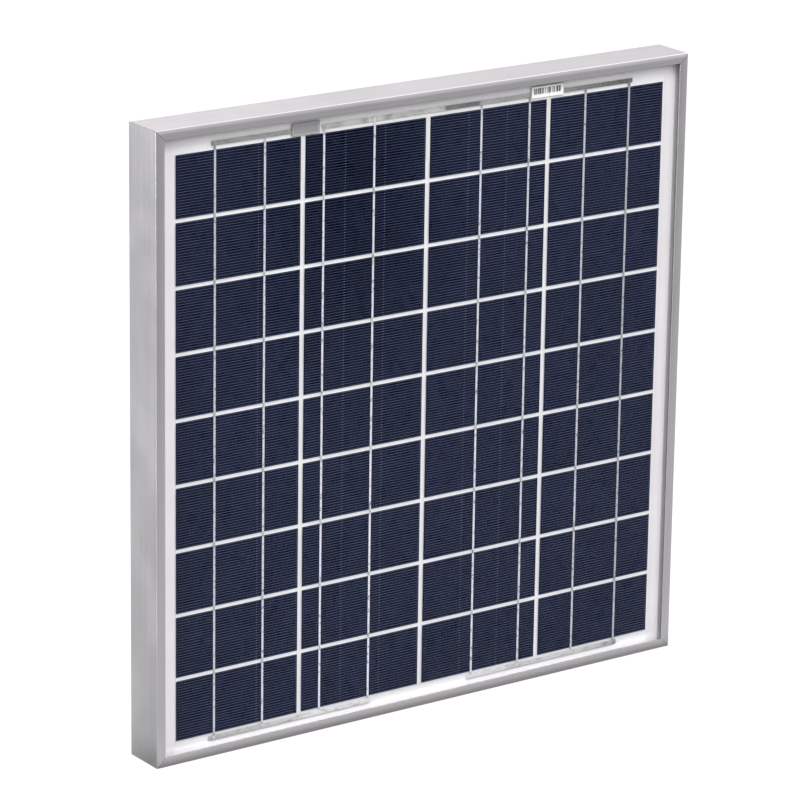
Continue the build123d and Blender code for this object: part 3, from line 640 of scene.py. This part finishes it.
lo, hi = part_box("junction_box_base")
bx, bz0, bz1, br = 48.0 * MM, 366.0 * MM, 424.0 * MM, 3.0 * MM
ring = []
for cx, cz, a_from in ((bx - br, bz1 - br, 0), (-bx + br, bz1 - br, 90), (-bx + br, bz0 + br, 180), (bx - br, bz0 + br, 270)):
    for q in range(7):
        a = math.radians(a_from + 15 * q)
        ring.append((cx + br * math.cos(a), cz + br * math.sin(a), math.cos(a), math.sin(a)))
full = []
for i, (x, z, ox, oz) in enumerate(ring):
    x2, z2, ox2, oz2 = ring[(i + 1) % len(ring)]
    steps = max(1, int(math.hypot(x2 - x, z2 - z) / (1.6 * MM)))
    for q in range(steps):
        t = q / steps
        full.append((x + (x2 - x) * t, z + (z2 - z) * t, ox + (ox2 - ox) * t, oz + (oz2 - oz) * t))
secs = []
total = len(full)
for i in range(total):
    a = 2 * math.pi * i / total
    w = (2.0 + 0.45 * math.sin(5 * a + 0.7) + 0.3 * math.sin(13 * a + 2.1) + 0.18 * math.sin(31 * a)) * MM
    h = (1.25 + 0.22 * math.sin(7 * a + 1.3) + 0.14 * math.sin(19 * a + 0.4)) * MM
    sec = [(-0.4 * MM, 0.0), (-0.4 * MM, h)]
    for q in range(6):
        b = math.radians(90 - 18 * q)
        sec.append((w * math.cos(b) * 0.98 + 0.02 * MM, h * (0.25 + 0.75 * math.sin(b)) if q < 5 else 0.0))
    secs.append(sec)
sweep_ring(full, secs, "junction_box_silicone_bead", BEAD, "panel")

# ribbons pressing through the rear of the sheet as faint ridges
s = Shape()


def ridge(x0, x1, z0, z1, rise=0.07 * MM, slope=0.5 * MM):
    y0, y1 = sheet_hi.y - 0.02 * MM, sheet_hi.y + rise
    n = len(s.v)
    s.v += [(x0, y0, z0), (x1, y0, z0), (x1, y0, z1), (x0, y0, z1), (x0 + slope, y1, z0 + slope), (x1 - slope, y1, z0 + slope), (x1 - slope, y1, z1 - slope), (x0 + slope, y1, z1 - slope)]
    s.f += [[n + i for i in q] for q in ((0, 1, 2, 3), (4, 7, 6, 5), (0, 4, 5, 1), (1, 5, 6, 2), (2, 6, 7, 3), (3, 7, 4, 0))]


for group in ("tab_ribbons_1", "tab_ribbons_2", "tab_ribbons_3", "tab_ribbons_4"):
    lo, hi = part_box(group)
    for x in (lo.x + 0.8 * MM, hi.x - 0.8 * MM):
        if abs(x) < 49.5 * MM:
            ridge(x - 1.3 * MM, x + 1.3 * MM, 14.4 * MM, 361.0 * MM)
            ridge(x - 1.3 * MM, x + 1.3 * MM, 428.0 * MM, 442.6 * MM)
        else:
            ridge(x - 1.3 * MM, x + 1.3 * MM, 14.4 * MM, 442.6 * MM)
for group in ("bus_ribbon_top_left", "bus_ribbon_top_centre", "bus_ribbon_top_right", "bus_ribbon_bottom_left", "bus_ribbon_bottom_right"):
    lo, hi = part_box(group)
    ridge(lo.x - 0.4 * MM, hi.x + 0.4 * MM, lo.z - 0.4 * MM, lo.z + 3.24 * MM + 0.4 * MM)
s.make("backsheet_ridges", SHEET, slot="white_backsheet")


# grip ribs on the gland nuts, and the end of the gland's thread inside the box
def rib(sh, cx, cy, angle, off, z0, z1, r0, r1, w):
    """One chamfered rib on a hexagon flat whose outward direction is angle."""
    ux, uy = math.cos(angle), math.sin(angle)
    tx, ty = -uy, ux
    n = len(sh.v)
    c = 0.3 * MM
    for r, inset in ((r0, 0.0), (r1, c)):
        for dt, z in ((-w / 2 + inset / 2, z0 + inset), (w / 2 - inset / 2, z0 + inset), (w / 2 - inset / 2, z1 - inset), (-w / 2 + inset / 2, z1 - inset)):
            sh.v.append((cx + ux * r + tx * (off + dt), cy + uy * r + ty * (off + dt), z))
    sh.f += [[n + i for i in q] for q in ((0, 3, 2, 1), (4, 5, 6, 7), (0, 1, 5, 4), (1, 2, 6, 5), (2, 3, 7, 6), (3, 0, 4, 7))]


for side, sgn in (("left", -1), ("right", 1)):
    lo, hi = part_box("gland_nut_" + side)
    cx, cy = (lo.x + hi.x) / 2, (lo.y + hi.y) / 2
    wide_x = (hi.x - lo.x) > (hi.y - lo.y)          # a corner of the hexagon points along X
    first = math.pi / 6 if wide_x else 0.0
    sh = Shape()
    for q in range(6):
        for off in (-2.6, -1.3, 0.0, 1.3, 2.6):
            rib(sh, cx, cy, first + q * math.pi / 3, off * MM, 351.4 * MM, 360.4 * MM, 7.42 * MM, 7.82 * MM, 0.72 * MM)
    sh.make("gland_nut_ribs_" + side, NYLON, body=side + "_nut", slot="gland_nylon")
    verts, faces = [], []
    turns, per = 1.35, 36
    count = int(turns * per)
    lo_b, hi_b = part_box("gland_body_" + side)
    z_base = 371.55 * MM
    for i in range(count + 1):
        a = 2 * math.pi * i / per
        z = z_base + 1.5 * MM * i / per
        fade = min(1.0, i / 5, (count - i) / 5)
        for r, dz in ((5.26 * MM, -0.42 * MM * max(fade, 0.05)), (5.26 * MM + 0.36 * MM * max(fade, 0.05), 0.0), (5.26 * MM, 0.42 * MM * max(fade, 0.05))):
            verts.append((cx + r * math.cos(a), cy + r * math.sin(a), z + dz))
    for i in range(count):
        for q in range(3):
            faces.append((i * 3 + q, i * 3 + (q + 1) % 3, (i + 1) * 3 + (q + 1) % 3, (i + 1) * 3 + q))
    faces += [(0, 2, 1), (count * 3, count * 3 + 1, count * 3 + 2)]
    me = bpy.data.meshes.new("gland_thread_" + side)
    me.from_pydata(verts, [], faces)
    bm = bmesh.new()
    bm.from_mesh(me)
    bmesh.ops.recalc_face_normals(bm, faces=bm.faces)
    bm.to_mesh(me)
    bm.free()
    ob = bpy.data.objects.new("gland_thread_" + side, me)
    scene.collection.objects.link(ob)
    me.materials.append(NYLON)
    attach(ob, "panel")

# moulded ribs on the lid, beside its raised panel
lo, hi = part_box("junction_box_lid")
s = Shape()
top = 10.5 * MM
for sgn in (-1, 1):
    for q in range(4):
        x = sgn * (36.6 + 2.2 * q) * MM
        n = len(s.v)
        x0, x1, z0, z1, c = x - 0.5 * MM, x + 0.5 * MM, 383.0 * MM, 407.0 * MM, 0.25 * MM
        s.v += [(x0, top - 0.05 * MM, z0), (x1, top - 0.05 * MM, z0), (x1, top - 0.05 * MM, z1), (x0, top - 0.05 * MM, z1),
                (x0 + c, top + 0.4 * MM, z0 + c), (x1 - c, top + 0.4 * MM, z0 + c), (x1 - c, top + 0.4 * MM, z1 - c), (x0 + c, top + 0.4 * MM, z1 - c)]
        s.f += [[n + i for i in q4] for q4 in ((0, 1, 2, 3), (4, 7, 6, 5), (0, 4, 5, 1), (1, 5, 6, 2), (2, 6, 7, 3), (3, 7, 4, 0))]
s.make("junction_box_lid_ribs", BLACK, body="lid", slot="black_plastic")

# ------------------------------------------------------------------ stage, light and camera
floor = Shape()
floor.box(-6, 6, -6, 6, -0.02, 0.0)
me = bpy.data.meshes.new("floor")
me.from_pydata(floor.v, [], floor.f)
floor_obj = bpy.data.objects.new("floor", me)
scene.collection.objects.link(floor_obj)
fm, fnt, fout = new_material("floor_white")
seen = fnt.nodes.new("ShaderNodeEmission")
seen.inputs[0].default_value = (1, 1, 1, 1)
seen.inputs[1].default_value = 0.88
seen_d = fnt.nodes.new("ShaderNodeBsdfDiffuse")
seen_d.inputs[0].default_value = (0.085, 0.085, 0.085, 1)
seen_sum = fnt.nodes.new("ShaderNodeAddShader")
fnt.links.new(seen.outputs[0], seen_sum.inputs[0])
fnt.links.new(seen_d.outputs[0], seen_sum.inputs[1])
# to every ray but the camera's the floor glows: painted bounce light, with a painted contact shadow at the panel's foot
floor_glow = fnt.nodes.new("ShaderNodeEmission")
floor_glow.inputs[0].default_value = (1.0, 0.985, 1.0, 1)
where = fnt.nodes.new("ShaderNodeTexCoord")
axes = fnt.nodes.new("ShaderNodeSeparateXYZ")
fnt.links.new(where.outputs["Object"], axes.inputs[0])
fnt.links.new(ramp(fnt, remap(fnt, axes.outputs[1], 0.0, 1.0, -2.0, 2.0), [((y + 2.0) / 4.0, (v, v, v)) for y, v in BOUNCE]), floor_glow.inputs[1])
path = fnt.nodes.new("ShaderNodeLightPath")
pick = fnt.nodes.new("ShaderNodeMixShader")
fnt.links.new(path.outputs["Is Camera Ray"], pick.inputs[0])
fnt.links.new(floor_glow.outputs[0], pick.inputs[1])
fnt.links.new(seen_sum.outputs[0], pick.inputs[2])
fnt.links.new(pick.outputs[0], fout.inputs[0])
me.materials.append(fm)

# soft studio: white surroundings brighter above, a broad soft box at the left and two weak ones above and in front
world = bpy.data.worlds.new("studio")
scene.world = world
world.use_nodes = True
wnt = world.node_tree
for n in list(wnt.nodes):
    wnt.nodes.remove(n)
wout = wnt.nodes.new("ShaderNodeOutputWorld")
bg_cam = wnt.nodes.new("ShaderNodeBackground")
bg_cam.inputs[0].default_value = (1, 1, 1, 1)
bg_cam.inputs[1].default_value = 1.0
wtc = wnt.nodes.new("ShaderNodeTexCoord")


lp = wnt.nodes.new("ShaderNodeLightPath")


def lobe(direction, color, strength, power=1.5, shine=None):
    d = wnt.nodes.new("ShaderNodeVectorMath")
    d.operation = "DOT_PRODUCT"
    wnt.links.new(wtc.outputs["Generated"], d.inputs[0])
    d.inputs[1].default_value = direction
    m0 = math_node(wnt, "MAXIMUM", d.outputs["Value"], 0.0)
    m1 = math_node(wnt, "POWER", m0, power)
    m2 = math_node(wnt, "MULTIPLY", m1, strength)
    if shine:
        # the overhead light is held back in mirror-like reflections, so that metal seen from above keeps its grey
        m2 = math_node(wnt, "MINIMUM", m2, math_node(wnt, "SUBTRACT", 100.0 + shine, math_node(wnt, "MULTIPLY", lp.outputs["Is Glossy Ray"], 100.0)))
    b = wnt.nodes.new("ShaderNodeBackground")
    b.inputs[0].default_value = (*color, 1)
    wnt.links.new(m2, b.inputs[1])
    return b.outputs[0]


def add_shader(a, b):
    n = wnt.nodes.new("ShaderNodeAddShader")
    wnt.links.new(a, n.inputs[0])
    wnt.links.new(b, n.inputs[1])
    return n.outputs[0]


surround = add_shader(lobe((0, 0, 1), (1.0, 0.985, 1.0), UP, shine=1.0), lobe((1, 0, 0), (1.0, 1.0, 1.0), RIGHT))
surround = add_shader(surround, lobe((-1, 0, 0), (1.0, 1.0, 1.0), LEFT))
wm = wnt.nodes.new("ShaderNodeMixShader")
wnt.links.new(lp.outputs["Is Camera Ray"], wm.inputs[0])
wnt.links.new(surround, wm.inputs[1])
wnt.links.new(bg_cam.outputs[0], wm.inputs[2])
wnt.links.new(wm.outputs[0], wout.inputs[0])


def soft_box(name, azimuth, elevation, dist, size, power, mirrored=True):
    d = bpy.data.lights.new(name, "AREA")
    d.shape = "RECTANGLE"
    d.size, d.size_y = size
    d.energy = power
    o = bpy.data.objects.new(name, d)
    scene.collection.objects.link(o)
    target = Vector((0, 0, 0.23))
    az, el = math.radians(azimuth), math.radians(elevation)
    o.location = target + dist * Vector((math.sin(az) * math.cos(el), -math.cos(az) * math.cos(el), math.sin(el)))
    o.rotation_euler = (target - o.location).to_track_quat("-Z", "Y").to_euler()
    o.visible_glossy = mirrored
    return o


soft_box("side_box", -90, 20, 2.5, (1.2, 1.2), SIDE_W)
soft_box("top_box", -15, 60, 2.2, (0.8, 0.5), TOP_W, False)
soft_box("front_right_box", 40, 35, 2.5, (0.9, 0.9), FRONT_RIGHT_W, False)
soft_box("front_left_box", -50, 35, 2.5, (0.9, 0.9), FRONT_LEFT_W, False)

cam_data = bpy.data.cameras.new("camera")
cam_data.sensor_width = 36.0
cam_data.lens = 199.02
cam_data.clip_start = 0.05
cam_data.clip_end = 50
cam = bpy.data.objects.new("camera", cam_data)
scene.collection.objects.link(cam)
right = Vector((0.81694307, -0.57654356, 0.01419628))
up = Vector((0.15890021, 0.24868274, 0.95546199))
back = Vector((-0.55439583, -0.77830226, 0.29477254))
rot = Matrix((right, up, back)).transposed().to_4x4()
cam.matrix_world = Matrix.Translation(Vector((-1.77407, -2.47336, 1.16824))) @ rot
scene.camera = cam
scene.view_settings.view_transform = "Standard"
scene.view_settings.look = "None"
